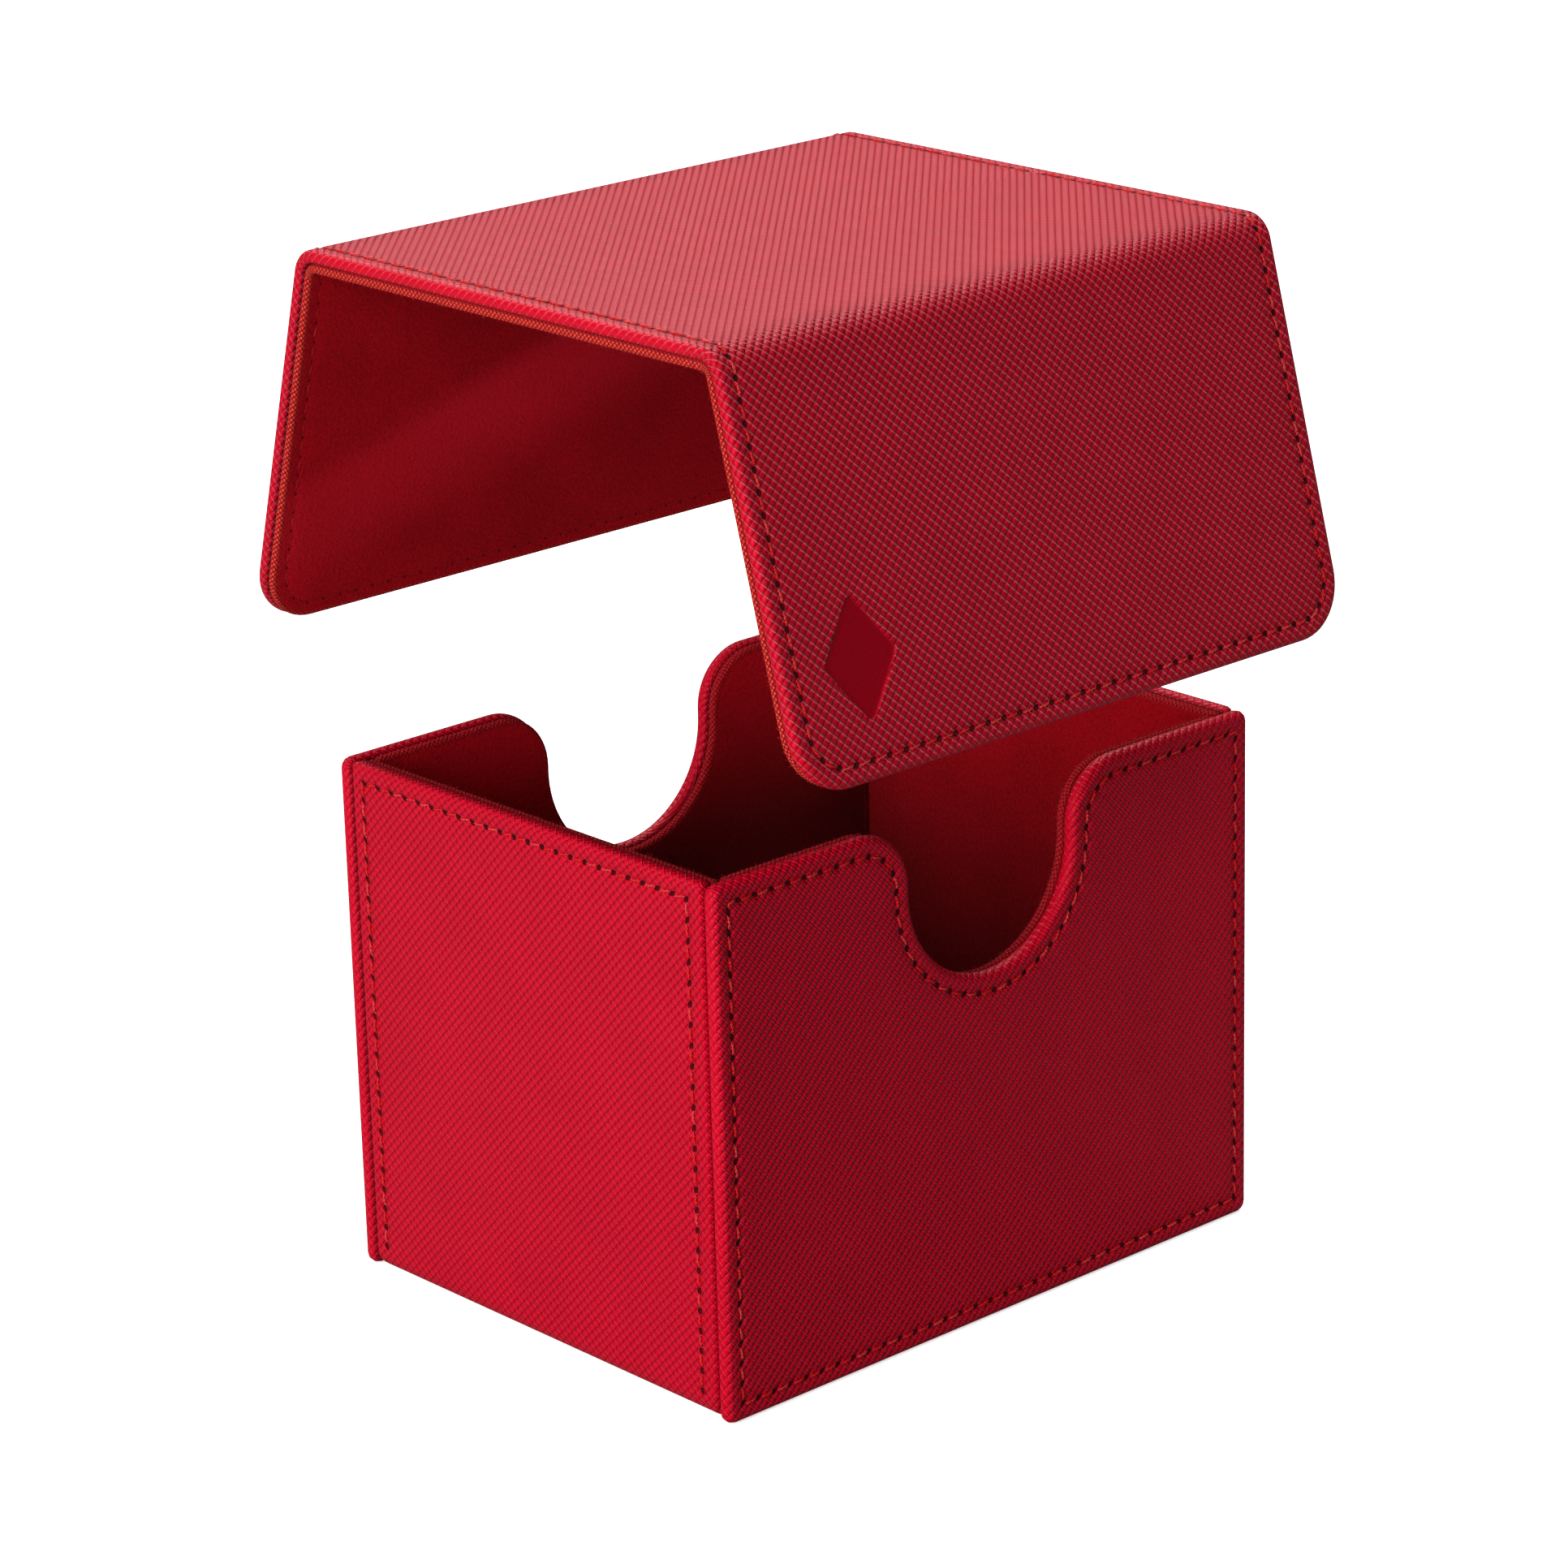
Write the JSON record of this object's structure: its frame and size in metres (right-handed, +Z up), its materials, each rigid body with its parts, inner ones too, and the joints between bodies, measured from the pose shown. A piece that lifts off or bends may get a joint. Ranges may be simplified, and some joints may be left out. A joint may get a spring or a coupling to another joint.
{
  "type": "card deck box",
  "caption": "Open-top card deck box of leatherette-wrapped boards with thumb notches front and back, and a separate lid whose two folding flaps hang over the notched walls.",
  "frame": {"origin": "middle of the box's underside, on the surface it stands on", "axes": "+Z up, X across the notched walls, -Y towards the front, where the lid's flap carries the emblem"},
  "size_m": [0.104, 0.1172, 0.1521],
  "materials": {
    "leatherette": "embossed diamond grain, satin",
    "suede": "short napped microfibre",
    "board": "grey paper board",
    "thread": "twisted polyester",
    "magnet": "nickel plated"
  },
  "bodies": {
    "box": {"front_wall_cover": "leatherette", "front_wall_board": "board", "front_wall_stitching": "thread", "front_wall_magnets": "magnet", "front_wall_lining": "suede", "front_wall_lining_board": "board", "back_wall_cover": "leatherette", "back_wall_board": "board", "back_wall_stitching": "thread", "back_wall_magnets": "magnet", "back_wall_lining": "suede", "back_wall_lining_board": "board", "side_and_floor_cover": "leatherette", "left_side_board": "board", "right_side_board": "board", "floor_board": "board", "left_side_stitching": "thread", "right_side_stitching": "thread", "left_side_lining": "suede", "left_side_lining_board": "board", "right_side_lining": "suede", "right_side_lining_board": "board", "floor_lining": "suede", "floor_lining_board": "board"},
    "lid_top": {"lid_top_cover": "leatherette", "lid_top_board": "board", "lid_top_stitching": "thread", "lid_top_lining": "suede", "lid_top_lining_card": "board", "front_crease_cover": "leatherette", "front_crease_lining": "suede", "back_crease_cover": "leatherette", "back_crease_lining": "suede"},
    "front_flap": {"front_flap_cover": "leatherette", "front_flap_board": "board", "front_flap_stitching": "thread", "front_flap_magnets": "magnet", "front_flap_lining": "suede", "front_flap_lining_card": "board"},
    "back_flap": {"back_flap_cover": "leatherette", "back_flap_board": "board", "back_flap_stitching": "thread", "back_flap_magnets": "magnet", "back_flap_lining": "suede", "back_flap_lining_card": "board"}
  },
  "joints": [
    {"name": "lid_lift", "type": "slide", "parent": "box", "child": "lid_top", "axis": [0, 0, 1], "range_m": [-0.07, 0]},
    {"name": "front_flap_fold", "type": "hinge", "parent": "lid_top", "child": "front_flap", "pos_m": [0, -0.04265, 0.15105], "axis": [-1, 0, 0], "range_deg": [-15, 75], "deforming": ["front_crease_cover", "front_crease_lining"]},
    {"name": "back_flap_fold", "type": "hinge", "parent": "lid_top", "child": "back_flap", "pos_m": [0, 0.04265, 0.15105], "axis": [1, 0, 0], "range_deg": [-15, 75], "deforming": ["back_crease_cover", "back_crease_lining"]}
  ]
}
